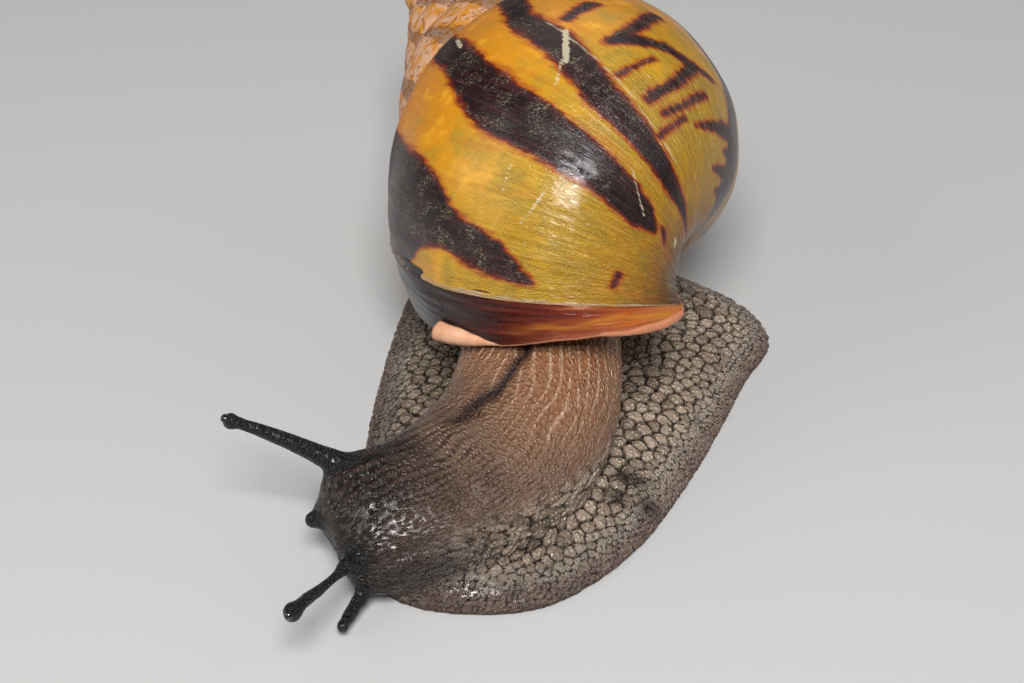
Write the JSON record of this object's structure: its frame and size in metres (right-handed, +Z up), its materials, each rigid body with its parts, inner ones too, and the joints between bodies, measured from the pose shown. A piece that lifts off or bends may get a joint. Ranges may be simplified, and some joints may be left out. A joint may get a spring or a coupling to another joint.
{
  "type": "giant african land snail",
  "caption": "Life-size giant African land snail, crawling with its head turned to its right and all four tentacles out, resting flat on its sole.",
  "frame": {"origin": "middle of the model's footprint, at floor level under the sole", "axes": "-Y is the way the snail crawls, +X is its left, +Z is up"},
  "size_m": [0.0912, 0.1534, 0.0634],
  "materials": {
    "shell": "glossy, amber to olive with jagged maroon-black flames and fine growth lines; duller and worn pale red on the early whorls",
    "shell_lip": "dark maroon band past the rest line, peach edge",
    "mantle": "smooth wet flesh inside the shell's mouth",
    "foot_skin": "wet grey-brown skin with rounded tubercles in dark grooves",
    "neck_skin": "wet red-brown skin in long beaded ridges",
    "head_skin": "wet slate-brown, nearly black, finely beaded",
    "eye": "glossy black"
  },
  "bodies": {
    "root": {"shell_spire": "shell", "shell_body_whorl": "shell", "shell_lip": "shell_lip", "mantle_collar": "mantle", "foot_front": "foot_skin", "foot_middle": "foot_skin", "foot_tail": "foot_skin", "neck": "neck_skin", "head": "head_skin", "ocular_tentacle_right": "head_skin", "ocular_tentacle_left": "head_skin", "oral_tentacle_right": "head_skin", "oral_tentacle_left": "head_skin", "eye_right": "eye", "eye_left": "eye"}
  },
  "joints": []
}
